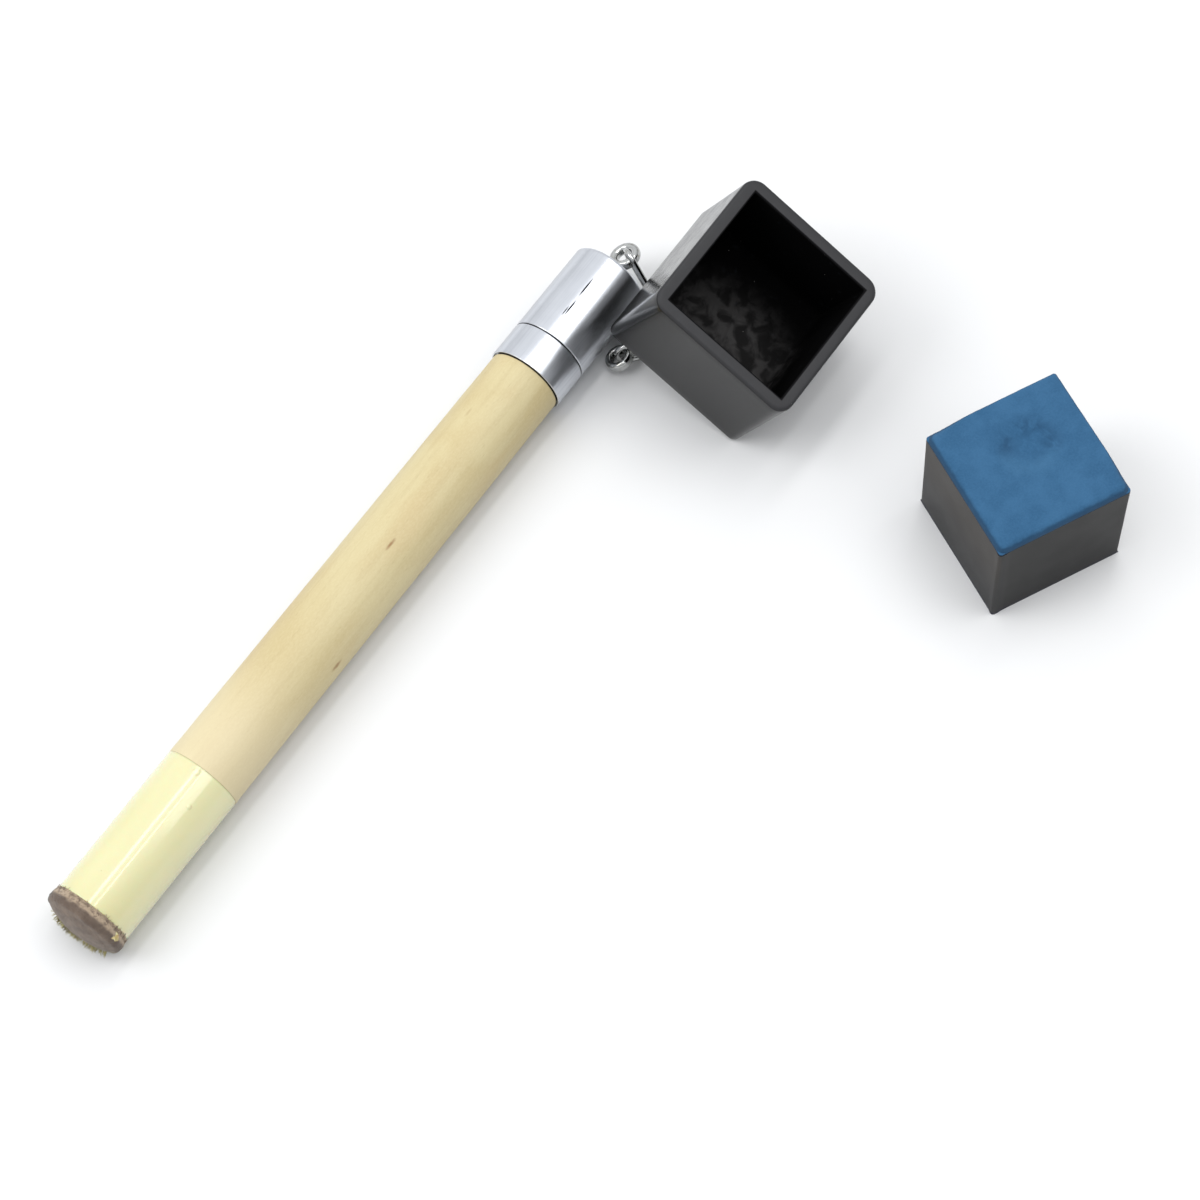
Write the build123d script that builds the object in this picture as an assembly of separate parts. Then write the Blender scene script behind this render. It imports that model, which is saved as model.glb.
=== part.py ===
from build123d import *
import os
from math import cos, radians, sin

os.makedirs("parts", exist_ok=True)

# A pocket chalk holder with its loose cue chalk cube, laid out on a table.
# Frame: origin at the centre of the chalk cube's base, +X along the handle from
# its leather tip to its magnetic cap, +Y towards the handle, +Z up. Millimetres.

# ---- driving dimensions ----------------------------------------------------

# chalk cube
CHALK_SIDE = 22.2            # 7/8 inch, over the paper label
CHALK_HEIGHT = 21.8
CHALK_YAW = -27.3            # how the cube is turned on the table, degrees
PAPER = 0.15                 # label thickness
LABEL_DROP = 1.2             # bare chalk above the label's top edge
CHALK_BEVEL = 0.4
WEAR_RADIUS = 5.6            # round hollow worn by cue tips
WEAR_DEPTH = 0.5
WEAR_OFFSET = (1.3, 2.1)

# rubber cup
CUP_SIDE = 26.5
CUP_DEPTH = 21.0
CUP_FLOOR = 3.0
CUP_POCKET = 22.3            # the cube has 0.05 mm to spare on each side
CUP_CORNER = 2.5             # outer corners at the rim
CUP_BASE_CORNER = 1.3        # the corners tighten towards the base
POCKET_CORNER = 0.1          # near square, so the label's corners go in
CUP_RIM_ROUND = 0.45
CUP_TILT = 27.0              # lean of the mouth away from the handle, degrees
CUP_BASE = (0.5, 55.8, 6.02)  # centre of the cup's base
ANCHOR_RADIUS = 4.5
ANCHOR_THICK = 0.8
ANCHOR_DEPTH = 1.1           # from the cup's base to the anchor

# handle: a length of cue shaft lying along X
AXIS_Y = 75.2
AXIS_Z = 6.42
TIP_END_X = -134.5           # crown of the leather tip
TIP_SEAT_X = -130.0          # leather meets ferrule
FERRULE_END_X = -104.6       # ferrule meets wood
COLLAR_START_X = -24.4
SEAM_X = -18.3               # collar meets cap
CAP_END_X = -1.8
METAL_RADIUS = 6.4
FERRULE_RADIUS = 6.22
WOOD_RADIUS_THIN = 6.22
WOOD_RADIUS_THICK = 6.08
TIP_RADIUS = 6.8             # leather mushroomed by play
TIP_BULGE = 1.3              # from the seat to the widest place
TIP_SHOULDER = 2.7           # from the seat to where the crown starts
TIP_SHOULDER_DROP = 0.55
TENON_RADIUS = 4.4
TENON_GAP = 0.3              # air left at the bottom of the ferrule's bore
FERRULE_BORE_DEPTH = 20.0
COLLAR_WEB = 2.2
COLLAR_BORE = 5.6

# magnetic joint
KEEPER_RADIUS = 4.8
KEEPER_THICK = 1.4
SCREW_HEAD_RADIUS = 2.6
SCREW_SHANK_RADIUS = 1.2
SCREW_LENGTH = 10.0
MAGNET_RADIUS = 5.0
MAGNET_THICK = 4.0
MAGNET_RECESS = 0.05
CAP_HOLLOW_RADIUS = 4.2
CAP_END_WALL = 2.5
CAP_EDGE_ROUND = 0.6
SOCKET_LIP = 0.6             # open gap between wood and collar at the mouth
RIM_WALL = 0.22
SCREW_RECESS = 0.05
DRIVE_DEPTH = 0.6            # cross recess in the screw's head
DRIVE_LENGTH = 2.8
DRIVE_WIDTH = 0.55
EYE_PLAY = 0.1
FLANGE_RADIUS = 1.6
FLANGE_THICK = 0.5
RIVET_HEAD = 0.6
WASHER_RADIUS = 2.4
WASHER_THICK = 0.5

# eyes, links and swivel
EYE_RADIUS = 1.75            # centre of an eye's section
EYE_SECTION = 0.52           # half the section's width across the eye
CAP_EYE_RADIUS = 1.88        # the cap's eye is heavier than the others
CAP_EYE_SECTION = 0.70
EYE_THICK = 0.87             # half the section's thickness along the eye's axis
LINK_WIRE = 0.45
LINK_BEND = 1.65             # centre line radius of a link's ends
LINK_STRAIGHT = 2.8          # half the straight length of a link
NECK_RADIUS = 0.75
SHANK_RADIUS = 1.0
RUNNING_GAP = 0.06


# ---- helpers ---------------------------------------------------------------

def turned(outline):
    """Revolve a closed outline of (x, radius) curves about the handle's axis."""
    profile = Plane.XZ * make_face(outline)
    return Pos(0, AXIS_Y, AXIS_Z) * revolve(profile, Axis.X)


def stepped(*points):
    """A turned piece whose outline has only straight sides."""
    return turned(Polyline(*points, close=True))


def rod(start_x, end_x, radius):
    """A plain round bar on the handle's axis."""
    return stepped((start_x, 0), (end_x, 0), (end_x, radius), (start_x, radius))


def unit_frame(origin, stem, across):
    """A frame whose +Z is the stem and whose X lies as near as it can to across."""
    z_dir = Vector(*stem).normalized()
    x_dir = Vector(*across) - z_dir * Vector(*across).dot(z_dir)
    return Plane(origin=origin, x_dir=x_dir, z_dir=z_dir).location


def eye(stem_end, radius=EYE_RADIUS, half_width=EYE_SECTION):
    """A closed eye about the origin, its hole along Y, with a neck up +Z."""
    flat = 2 * (EYE_THICK - half_width)
    section = Pos(radius, 0) * (
        Rectangle(2 * half_width, flat)
        + Pos(0, flat / 2) * Circle(half_width)
        + Pos(0, -flat / 2) * Circle(half_width)
    )
    neck = Pos(0, 0, radius) * stem(stem_end - radius, NECK_RADIUS)
    return revolve(section, Axis.Y) + neck


def stem(length, radius):
    """A round bar from the origin up +Z."""
    return extrude(Circle(radius), length)


def link(centre, yaw, pitch, roll):
    """A closed oval wire link; its long axis has the given yaw and pitch."""
    wire = Circle(LINK_WIRE)
    side = Rot(0, 90, 0) * extrude(wire, LINK_STRAIGHT, both=True)
    sides = Pos(0, LINK_BEND, 0) * side + Pos(0, -LINK_BEND, 0) * side
    bend = revolve(Plane.XZ * Pos(LINK_BEND, 0) * wire, Axis.Z, 180)
    ends = Pos(LINK_STRAIGHT, 0, 0) * Rot(0, 0, -90) * bend
    ends += Pos(-LINK_STRAIGHT, 0, 0) * Rot(0, 0, 90) * bend
    return Pos(*centre) * Rot(0, 0, yaw) * Rot(0, -pitch, 0) * Rot(roll, 0, 0) * (sides + ends)


# ---- where the chain lies --------------------------------------------------
# Each link: centre of the link, then yaw, pitch and roll in degrees.

LINK_1_PLACE = ((1.6, 72.0, 4.95), -104, -48.5, -77)
LINK_2_PLACE = ((-7.8, 64.5, 2.1), -43, 0, -101)
LINK_3_PLACE = ((-2.5, 60.4, 1.8), -31, 4, -192)

CAP_EYE_X = 2.2              # centre of the cap's eye
CAP_EYE_LEAN = 25            # its hole leans this far from upright
SWIVEL_START = (0.6, 68.8, 1.9)   # centre of the swivel's first eye
SWIVEL_YAW = 189
SWIVEL_PITCH = 12.0          # between the swivel's eye centres
SWIVEL_TILT_A = 142.5        # turn of each eye about the swivel's axis
SWIVEL_TILT_B = 25
BARREL_LENGTH = 4.0
BARREL_RADIUS = 1.55
BARREL_WALL = 0.75
BARREL_CAVITY = 1.2
BARREL_CHAMFER = 0.35
SWIVEL_HEAD_RADIUS = 1.1
SWIVEL_HEAD_THICK = 0.6
CUP_EYE_DROP = 3.9           # eye centre below the cup's base
CUP_EYE_TURN = 130           # turn of the eye about the cup's axis


# ---- chalk -----------------------------------------------------------------

def on_table(shape):
    return Rot(0, 0, CHALK_YAW) * shape


def chalk_block():
    side = CHALK_SIDE - 2 * PAPER
    body = Pos(0, 0, PAPER) * extrude(Rectangle(side, side), CHALK_HEIGHT - PAPER)
    top_edges = body.edges().group_by(Axis.Z)[-1]
    body = chamfer(top_edges, CHALK_BEVEL)
    ball_radius = (WEAR_RADIUS**2 + WEAR_DEPTH**2) / (2 * WEAR_DEPTH)
    ball_height = CHALK_HEIGHT - WEAR_DEPTH + ball_radius
    wear = Pos(*WEAR_OFFSET, ball_height) * Sphere(ball_radius)
    return on_table(body - wear)


def side_label():
    outer = Rectangle(CHALK_SIDE, CHALK_SIDE)
    inner = Rectangle(CHALK_SIDE - 2 * PAPER, CHALK_SIDE - 2 * PAPER)
    return on_table(extrude(outer - inner, CHALK_HEIGHT - LABEL_DROP))


def base_label():
    side = CHALK_SIDE - 2 * PAPER
    return on_table(extrude(Rectangle(side, side), PAPER))


# ---- cup -------------------------------------------------------------------

def on_cup(shape):
    """Place a shape made with the cup's base on XY and its mouth up +Z."""
    return Pos(*CUP_BASE) * Rot(CUP_TILT, 0, 0) * shape


def cup():
    base = RectangleRounded(CUP_SIDE, CUP_SIDE, CUP_BASE_CORNER)
    rim = Pos(0, 0, CUP_DEPTH) * RectangleRounded(CUP_SIDE, CUP_SIDE, CUP_CORNER)
    outer = loft([base, rim])
    rims = outer.edges().group_by(Axis.Z)
    outer = fillet(rims[-1] + rims[0], CUP_RIM_ROUND)
    pocket_face = RectangleRounded(CUP_POCKET, CUP_POCKET, POCKET_CORNER)
    pocket = Pos(0, 0, CUP_FLOOR) * extrude(pocket_face, CUP_DEPTH)
    anchor_space = Pos(0, 0, ANCHOR_DEPTH) * stem(ANCHOR_THICK, ANCHOR_RADIUS)
    shank_hole = stem(ANCHOR_DEPTH, SHANK_RADIUS)
    return on_cup(outer - pocket - anchor_space - shank_hole)


def cup_anchor():
    disc = stem(ANCHOR_THICK, ANCHOR_RADIUS) - stem(ANCHOR_THICK, SHANK_RADIUS)
    return on_cup(Pos(0, 0, ANCHOR_DEPTH) * disc)


def cup_eye():
    ring = Pos(0, 0, -CUP_EYE_DROP) * Rot(0, 0, CUP_EYE_TURN) * eye(CUP_EYE_DROP)
    return on_cup(ring + stem(ANCHOR_DEPTH + ANCHOR_THICK, SHANK_RADIUS))


# ---- handle ----------------------------------------------------------------

def leather_tip():
    """A low dome whose rim has spread past the ferrule."""
    seat = (TIP_SEAT_X, FERRULE_RADIUS)
    bulge = (TIP_SEAT_X - TIP_BULGE, TIP_RADIUS)
    shoulder = (TIP_SEAT_X - TIP_SHOULDER, TIP_RADIUS - TIP_SHOULDER_DROP)
    crown = shoulder[0] - TIP_END_X
    dome_radius = (shoulder[1] ** 2 + crown**2) / (2 * crown)
    half_way = shoulder[1] / 2
    dome_point = (TIP_END_X + dome_radius - (dome_radius**2 - half_way**2) ** 0.5, half_way)
    outline = [
        Line((TIP_SEAT_X, 0), seat),
        ThreePointArc(seat, bulge, shoulder),
        ThreePointArc(shoulder, dome_point, (TIP_END_X, 0)),
        Line((TIP_END_X, 0), (TIP_SEAT_X, 0)),
    ]
    return turned(outline)


def ferrule():
    body = rod(TIP_SEAT_X, FERRULE_END_X, FERRULE_RADIUS)
    bore = rod(FERRULE_END_X - FERRULE_BORE_DEPTH, FERRULE_END_X, TENON_RADIUS)
    return body - bore


def wood_shaft():
    tenon_start = FERRULE_END_X - FERRULE_BORE_DEPTH + TENON_GAP
    body = stepped(
        (tenon_start, 0),
        (tenon_start, TENON_RADIUS),
        (FERRULE_END_X, TENON_RADIUS),
        (FERRULE_END_X, WOOD_RADIUS_THIN),
        (COLLAR_START_X + SOCKET_LIP, WOOD_RADIUS_THICK),
        (COLLAR_START_X + SOCKET_LIP, COLLAR_BORE),
        (SEAM_X - COLLAR_WEB, COLLAR_BORE),
        (SEAM_X - COLLAR_WEB, 0),
    )
    return body - screw_body(SCREW_SHANK_RADIUS)


def collar():
    body = rod(COLLAR_START_X, SEAM_X, METAL_RADIUS)
    body -= rod(COLLAR_START_X, SEAM_X - COLLAR_WEB, COLLAR_BORE)
    body -= rod(COLLAR_START_X, COLLAR_START_X + SOCKET_LIP, METAL_RADIUS - RIM_WALL)
    body -= rod(SEAM_X - KEEPER_THICK, SEAM_X, KEEPER_RADIUS)
    return body - rod(SEAM_X - COLLAR_WEB, SEAM_X, SCREW_SHANK_RADIUS)


def screw_body(shank_radius):
    """Screw outline: countersunk head at the seam, pointed end in the wood."""
    face_x = SEAM_X - SCREW_RECESS
    neck_x = face_x - (SCREW_HEAD_RADIUS - shank_radius)
    end_x = face_x - SCREW_LENGTH
    return stepped(
        (face_x, 0),
        (face_x, SCREW_HEAD_RADIUS),
        (neck_x, shank_radius),
        (end_x + 2 * shank_radius, shank_radius),
        (end_x, 0),
    )


def keeper_disc():
    disc = rod(SEAM_X - KEEPER_THICK, SEAM_X - SCREW_RECESS, KEEPER_RADIUS)
    return disc - screw_body(SCREW_SHANK_RADIUS)


def keeper_screw():
    slot = Box(DRIVE_DEPTH * 2, DRIVE_LENGTH, DRIVE_WIDTH)
    cross = slot + Rot(90, 0, 0) * slot
    face = Pos(SEAM_X - SCREW_RECESS, AXIS_Y, AXIS_Z)
    return screw_body(SCREW_SHANK_RADIUS) - face * cross


# ---- magnetic cap ----------------------------------------------------------

def cap():
    body = rod(SEAM_X, CAP_END_X, METAL_RADIUS)
    body = fillet(body.edges().group_by(Axis.X)[-1], CAP_EDGE_ROUND)
    body -= rod(SEAM_X, SEAM_X + MAGNET_THICK + MAGNET_RECESS, MAGNET_RADIUS)
    body -= rod(SEAM_X, CAP_END_X - CAP_END_WALL, CAP_HOLLOW_RADIUS)
    return body - rod(SEAM_X, CAP_END_X, SHANK_RADIUS + RUNNING_GAP)


def cap_magnet():
    start = SEAM_X + MAGNET_RECESS
    return rod(start, start + MAGNET_THICK, MAGNET_RADIUS)


def cap_eye():
    """The eye, with its shank running in the cap's end wall and riveted inside."""
    lean = radians(CAP_EYE_LEAN)
    place = unit_frame((CAP_EYE_X, AXIS_Y, AXIS_Z), (-1, 0, 0), (0, cos(lean), -sin(lean)))
    ring = place * eye(CAP_EYE_X - CAP_END_X, CAP_EYE_RADIUS, CAP_EYE_SECTION)
    flange_x = CAP_END_X + EYE_PLAY
    rivet_x = CAP_END_X - CAP_END_WALL - EYE_PLAY - WASHER_THICK
    flange = rod(flange_x, flange_x + FLANGE_THICK, FLANGE_RADIUS)
    shank = rod(rivet_x, flange_x, SHANK_RADIUS)
    head = rod(rivet_x - RIVET_HEAD, rivet_x, FLANGE_RADIUS)
    return ring + flange + shank + head


def eye_washer():
    start = CAP_END_X - CAP_END_WALL - EYE_PLAY - WASHER_THICK
    ring = rod(start, start + WASHER_THICK, WASHER_RADIUS)
    return ring - rod(start, start + WASHER_THICK, SHANK_RADIUS)


# ---- swivel ----------------------------------------------------------------

def on_swivel(shape):
    """Place a shape made along +Z, from the first eye's centre to the second's."""
    return Pos(*SWIVEL_START) * Rot(0, 0, SWIVEL_YAW) * Rot(0, 90, 0) * shape


def swivel_eye(turn):
    head_start = (SWIVEL_PITCH - BARREL_LENGTH) / 2 + BARREL_WALL + EYE_PLAY
    head = Pos(0, 0, head_start) * stem(SWIVEL_HEAD_THICK, SWIVEL_HEAD_RADIUS)
    return Rot(0, 0, turn) * eye(head_start + SWIVEL_HEAD_THICK) + head


def swivel_eye_a():
    return on_swivel(swivel_eye(90 + SWIVEL_TILT_A))


def swivel_eye_b():
    turned_round = Pos(0, 0, SWIVEL_PITCH) * Rot(180, 0, 0)
    return on_swivel(turned_round * swivel_eye(-90 - SWIVEL_TILT_B))


def swivel_barrel():
    body = stem(BARREL_LENGTH, BARREL_RADIUS)
    body = chamfer(body.edges().filter_by(GeomType.CIRCLE), BARREL_CHAMFER)
    cavity = Pos(0, 0, BARREL_WALL) * stem(BARREL_LENGTH - 2 * BARREL_WALL, BARREL_CAVITY)
    bore = stem(BARREL_LENGTH, NECK_RADIUS + RUNNING_GAP)
    return on_swivel(Pos(0, 0, (SWIVEL_PITCH - BARREL_LENGTH) / 2) * (body - cavity - bore))


# ---- write one STEP per piece ----------------------------------------------

PIECES = {
    "chalk_block": chalk_block(),
    "side_label": side_label(),
    "base_label": base_label(),
    "cup": cup(),
    "cup_anchor": cup_anchor(),
    "cup_eye": cup_eye(),
    "leather_tip": leather_tip(),
    "ferrule": ferrule(),
    "wood_shaft": wood_shaft(),
    "collar": collar(),
    "keeper_disc": keeper_disc(),
    "keeper_screw": keeper_screw(),
    "cap": cap(),
    "cap_magnet": cap_magnet(),
    "cap_eye": cap_eye(),
    "eye_washer": eye_washer(),
    "link_1": link(*LINK_1_PLACE),
    "swivel_eye_a": swivel_eye_a(),
    "swivel_barrel": swivel_barrel(),
    "swivel_eye_b": swivel_eye_b(),
    "link_2": link(*LINK_2_PLACE),
    "link_3": link(*LINK_3_PLACE),
}

for name, piece in PIECES.items():
    export_step(piece, f"parts/{name}.step")
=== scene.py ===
"""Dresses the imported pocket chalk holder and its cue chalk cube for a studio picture."""

import math
import random

import bmesh
import bpy
from mathutils import Matrix, Quaternion, Vector, noise


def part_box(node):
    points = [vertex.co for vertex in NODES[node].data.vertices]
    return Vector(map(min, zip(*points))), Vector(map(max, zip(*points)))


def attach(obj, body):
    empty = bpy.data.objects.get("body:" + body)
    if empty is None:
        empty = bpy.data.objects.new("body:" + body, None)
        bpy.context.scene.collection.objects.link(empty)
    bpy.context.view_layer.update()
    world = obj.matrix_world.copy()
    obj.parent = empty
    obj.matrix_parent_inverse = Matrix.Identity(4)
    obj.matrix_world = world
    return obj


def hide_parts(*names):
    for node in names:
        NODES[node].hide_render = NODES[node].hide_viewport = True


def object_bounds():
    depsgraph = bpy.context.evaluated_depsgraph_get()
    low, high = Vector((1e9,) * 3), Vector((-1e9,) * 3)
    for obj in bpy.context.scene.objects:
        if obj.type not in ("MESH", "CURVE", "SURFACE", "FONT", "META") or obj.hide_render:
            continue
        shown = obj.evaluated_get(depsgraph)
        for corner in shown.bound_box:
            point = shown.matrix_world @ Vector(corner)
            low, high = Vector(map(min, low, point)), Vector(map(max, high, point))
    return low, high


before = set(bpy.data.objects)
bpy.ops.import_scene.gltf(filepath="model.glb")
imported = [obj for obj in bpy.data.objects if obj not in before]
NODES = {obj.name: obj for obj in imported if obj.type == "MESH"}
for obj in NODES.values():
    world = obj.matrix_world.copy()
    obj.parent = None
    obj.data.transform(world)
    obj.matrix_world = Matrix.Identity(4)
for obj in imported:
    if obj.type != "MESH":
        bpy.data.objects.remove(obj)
cad_low, cad_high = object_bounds()
MM = 0.001


def box_mm(node):
    """Lowest and highest corner of a CAD node, in millimetres."""
    low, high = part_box(node)
    return low / MM, high / MM


# ---- sizes shared by the pieces, in millimetres --------------------------------------

CHALK_YAW = math.radians(-27.3)
CUP_TILT = math.radians(27)
PAPER = 0.15
CUP_SIDE = 26.5
CUP_DEPTH = 21.0
CUP_FLOOR = 3.0
CUP_POCKET = 22.3
CUP_BASE_CORNER = 1.3
CUP_RIM_CORNER = 2.55
POCKET_CORNER = 0.3
UPRIGHT_EDGE = 0.45
LAP_WIDTH = 1.1
TENON_RADIUS = 4.4
SCREW_RADIUS = 1.2
COLLAR_BORE = 5.6
COLLAR_WEB = 2.2
KEEPER_THICK = 1.4
RIM_WALL = 0.22
SOCKET_LIP = 0.6
CAP_HOLLOW = 4.2
CAP_END_WALL = 2.5
SHANK_HOLE = 1.06
WOOD_BUTT_RADIUS = 6.08
SEAM_EASE = 0.3
TABLE_GAP = 0.02
TIP_NOSE = 0.9
TIP_SHOULDER_DROP = 0.5
TINY = 1e-6

TURN_SEGMENTS = 192
FACE_FIBRES = 260
SEAT_FIBRES = 220

collar_low, collar_high = box_mm("collar")
AXIS = (collar_low + collar_high) / 2
SEAM_X = collar_high.x
FERRULE_RADIUS = (box_mm("ferrule")[1].y - box_mm("ferrule")[0].y) / 2
TIP_RIDGE_X = box_mm("leather_tip")[1].x - 1.7
CHALK_LOW, CHALK_HIGH = box_mm("side_label")
LABEL_SIDE = (CHALK_HIGH.x - CHALK_LOW.x) / (math.cos(CHALK_YAW) - math.sin(CHALK_YAW))
CUP_CENTRE = sum(box_mm("cup"), Vector()) / 2


# ---- mesh helpers ---------------------------------------------------------------------

def smooth_step(value, low, high):
    t = min(1.0, max(0.0, (value - low) / (high - low)))
    return t * t * (3 - 2 * t)


def grain(point, scale, seed=0.0, octaves=3):
    """Fractal noise of a point, about -1 to 1."""
    return noise.fractal(point * scale + Vector((seed, seed * 1.7, -seed)), 1.0, 2.0, octaves)


def add_piece(name, points, faces, body, replaced, sharp=38):
    """A mesh object given in millimetres that stands for CAD nodes and rides on a body."""
    mesh = bpy.data.meshes.new(name)
    mesh.from_pydata([Vector(p) * MM for p in points], [], faces)
    work = bmesh.new()
    work.from_mesh(mesh)
    bmesh.ops.recalc_face_normals(work, faces=work.faces)
    work.to_mesh(mesh)
    work.free()
    mesh.shade_smooth()
    mesh.set_sharp_from_angle(angle=math.radians(sharp))
    piece = bpy.data.objects.new(name, mesh)
    bpy.context.scene.collection.objects.link(piece)
    if replaced:
        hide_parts(*replaced)
    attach(piece, body)
    return piece


def loft(loops, closed=False):
    """Skin over successive loops of points. Open lofts get an end face at each end."""
    count = len(loops[0])
    points = [point for loop in loops for point in loop]
    faces = []
    for row in range(len(loops) if closed else len(loops) - 1):
        here = row * count
        there = (row + 1) % len(loops) * count
        for k in range(count):
            after = (k + 1) % count
            faces.append((here + k, here + after, there + after, there + k))
    if not closed:
        faces.append(tuple(reversed(range(count))))
        faces.append(tuple(range(len(points) - count, len(points))))
    return points, faces


def eased(corners, closed, steps=6):
    """An outline through (a, b, radius) corners, each rounded off by its own radius."""
    outline = []
    count = len(corners)
    for index, (a, b, radius) in enumerate(corners):
        corner = Vector((a, b))
        end = not closed and index in (0, count - 1)
        if radius == 0 or end:
            outline.append(corner)
            continue
        before = (Vector(corners[index - 1][:2]) - corner).normalized() * radius
        after = (Vector(corners[(index + 1) % count][:2]) - corner).normalized() * radius
        for step in range(steps + 1):
            t = step / steps
            outline.append(corner + before * (1 - t) ** 2 + after * t**2)
    return outline


def refined(outline, longest):
    """The same outline with points added so that no step is longer than asked."""
    dense = []
    for here, after in zip(outline, outline[1:]):
        pieces = int((after - here).length / longest)
        dense += [here.lerp(after, step / (pieces + 1)) for step in range(pieces + 1)]
    dense.append(outline[-1])
    return dense


def ring_points(x, radius, segments=TURN_SEGMENTS):
    """A circle about the handle's axis."""
    ring = []
    for k in range(segments):
        turn = math.tau * k / segments
        across, up = radius * math.cos(turn), radius * math.sin(turn)
        ring.append(Vector((x, AXIS.y + across, AXIS.z + up)))
    return ring


def on_handle(x, radius, degrees):
    """A place on the handle; 0 degrees is towards +Y and 90 degrees is up."""
    turn = math.radians(degrees)
    return Vector((x, AXIS.y + radius * math.cos(turn), AXIS.z + radius * math.sin(turn)))


def turned(name, outline, closed, body, replaced):
    """A lathe-turned piece from its (x, radius) outline."""
    loops = [ring_points(x, radius) for x, radius in outline]
    return add_piece(name, *loft(loops, closed), body, replaced)


# ---- material helpers -----------------------------------------------------------------

def paint(red, green, blue):
    """A display colour, 0 to 255, as the linear colour that materials take."""
    linear = []
    for level in (red, green, blue):
        share = level / 255
        linear.append(share / 12.92 if share <= 0.04045 else ((share + 0.055) / 1.055) ** 2.4)
    return (*linear, 1.0)


class Finish:
    """A procedural material being wired up. Its texture space is in millimetres."""

    def __init__(self, name):
        self.material = bpy.data.materials.new(name)
        self.material.use_nodes = True
        self.tree = self.material.node_tree
        self.shader = self.tree.nodes["Principled BSDF"]
        coordinates = self.tree.nodes.new("ShaderNodeTexCoord").outputs["Object"]
        self.place = self.scaled(coordinates, (1 / MM,) * 3)

    def feed(self, socket, value):
        if isinstance(value, bpy.types.NodeSocket):
            self.tree.links.new(value, socket)
        else:
            socket.default_value = value

    def scaled(self, vector, scale, shift=(0, 0, 0)):
        node = self.tree.nodes.new("ShaderNodeMapping")
        self.feed(node.inputs["Vector"], vector)
        node.inputs["Scale"].default_value = scale
        node.inputs["Location"].default_value = shift
        return node.outputs["Vector"]

    def noise(self, scale, detail=3.0, stretch=(1, 1, 1), seed=0.0, distortion=0.0):
        node = self.tree.nodes.new("ShaderNodeTexNoise")
        self.feed(node.inputs["Vector"], self.scaled(self.place, stretch, (seed, seed * 2, -seed)))
        node.inputs["Scale"].default_value = scale
        node.inputs["Detail"].default_value = detail
        node.inputs["Distortion"].default_value = distortion
        return node.outputs[0]

    def cells(self, scale, stretch=(1, 1, 1), seed=0.0):
        """Distance to the nearest of many scattered points."""
        node = self.tree.nodes.new("ShaderNodeTexVoronoi")
        self.feed(node.inputs["Vector"], self.scaled(self.place, stretch, (seed, -seed, seed)))
        node.inputs["Scale"].default_value = scale
        return node.outputs["Distance"]

    def ramp(self, value, low, high, start=0.0, end=1.0):
        """Eases from start to end as the value goes from low to high."""
        node = self.tree.nodes.new("ShaderNodeMapRange")
        node.interpolation_type = "SMOOTHSTEP"
        for socket, given in zip(node.inputs, (value, low, high, start, end)):
            self.feed(socket, given)
        return node.outputs["Result"]

    def math(self, operation, *values):
        node = self.tree.nodes.new("ShaderNodeMath")
        node.operation = operation
        for socket, given in zip(node.inputs, values):
            self.feed(socket, given)
        return node.outputs[0]

    def mix(self, share, first, second):
        node = self.tree.nodes.new("ShaderNodeMix")
        node.data_type = "RGBA"
        for index, given in ((0, share), (6, first), (7, second)):
            self.feed(node.inputs[index], given)
        return node.outputs[2]

    def axes(self):
        node = self.tree.nodes.new("ShaderNodeSeparateXYZ")
        self.feed(node.inputs[0], self.place)
        return node.outputs

    def reach(self, origin, direction):
        """How far the surface lies from a place along a direction."""
        node = self.tree.nodes.new("ShaderNodeVectorMath")
        node.operation = "DOT_PRODUCT"
        self.feed(node.inputs[0], self.scaled(self.place, (1, 1, 1), [-c for c in origin]))
        node.inputs[1].default_value = direction
        return node.outputs["Value"]

    def normal_axes(self):
        node = self.tree.nodes.new("ShaderNodeSeparateXYZ")
        normal = self.tree.nodes.new("ShaderNodeTexCoord").outputs["Normal"]
        self.feed(node.inputs[0], normal)
        return node.outputs

    def spot(self, centre, stretch, radius, ragged=0.0):
        """One at a place and easing to nothing at the radius; stretch above 1 narrows it."""
        shift = [-c * s for c, s in zip(centre, stretch)]
        node = self.tree.nodes.new("ShaderNodeVectorMath")
        node.operation = "LENGTH"
        self.feed(node.inputs[0], self.scaled(self.place, stretch, shift))
        distance = node.outputs["Value"]
        if ragged:
            wobble = self.math("MULTIPLY", self.noise(1.6, 4), ragged)
            distance = self.math("ADD", distance, wobble)
        return self.ramp(distance, radius, 0.35 * radius)

    def relief(self, height, depth, strength=1.0, under=None):
        """Bump from a height texture whose full swing stands for depth millimetres."""
        node = self.tree.nodes.new("ShaderNodeBump")
        node.inputs["Strength"].default_value = strength
        node.inputs["Distance"].default_value = depth * MM
        self.feed(node.inputs["Height"], height)
        if under is not None:
            self.feed(node.inputs["Normal"], under)
        return node.outputs["Normal"]

    def set(self, **values):
        for name, value in values.items():
            self.feed(self.shader.inputs[name.replace("_", " ")], value)
        return self.material


# ---- finishes -------------------------------------------------------------------------

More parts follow.
